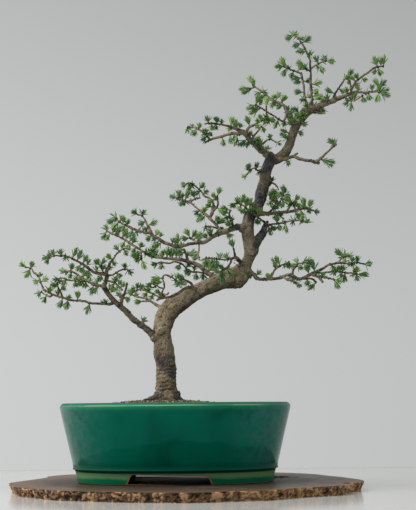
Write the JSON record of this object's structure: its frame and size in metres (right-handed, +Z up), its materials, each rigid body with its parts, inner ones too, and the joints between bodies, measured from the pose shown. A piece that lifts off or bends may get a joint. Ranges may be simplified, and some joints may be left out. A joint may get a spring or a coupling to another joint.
{
  "type": "larch bonsai",
  "caption": "Larch bonsai with a bent trunk, leafy branches of short needle tufts, soil and an oval glazed footed pot, standing on a bark-edged wood slab.",
  "frame": {"origin": "under the middle of the oval pot, on the flat underside of the wood slab that everything stands on", "axes": "+Z up, +X along the pot's long side towards the tree's lean, +Y from the front to the back"},
  "size_m": [0.5149, 0.4056, 0.6154],
  "materials": {
    "slab_wood": "matte",
    "pot_glaze": "gloss",
    "screen_plastic": "matte",
    "screen_wire": "satin",
    "soil_mix": "matte",
    "bark": "matte",
    "larch_spray": "matte"
  },
  "bodies": {
    "root": {"slab": "slab_wood", "pot": "pot_glaze", "drain_screen_left": "screen_plastic", "drain_screen_right": "screen_plastic", "screen_wire_left": "screen_wire", "screen_wire_right": "screen_wire", "soil": "soil_mix", "trunk": "bark", "branch_low_left": "larch_spray", "twig_trunk_crook": "larch_spray", "twigs_over_bend": "larch_spray", "branch_left_rear": "larch_spray", "twigs_inside_bend": "larch_spray", "branch_middle_left": "larch_spray", "branch_middle_right": "larch_spray", "twig_trunk_right": "larch_spray", "twigs_on_stub": "larch_spray", "twig_trunk_left": "larch_spray", "twig_high_left": "larch_spray", "branch_high_left": "larch_spray", "branch_high_right": "larch_spray", "leader_left": "larch_spray", "leader_tall": "larch_spray", "leader_middle": "larch_spray", "leader_right": "larch_spray", "branch_low_right": "larch_spray"}
  },
  "joints": []
}
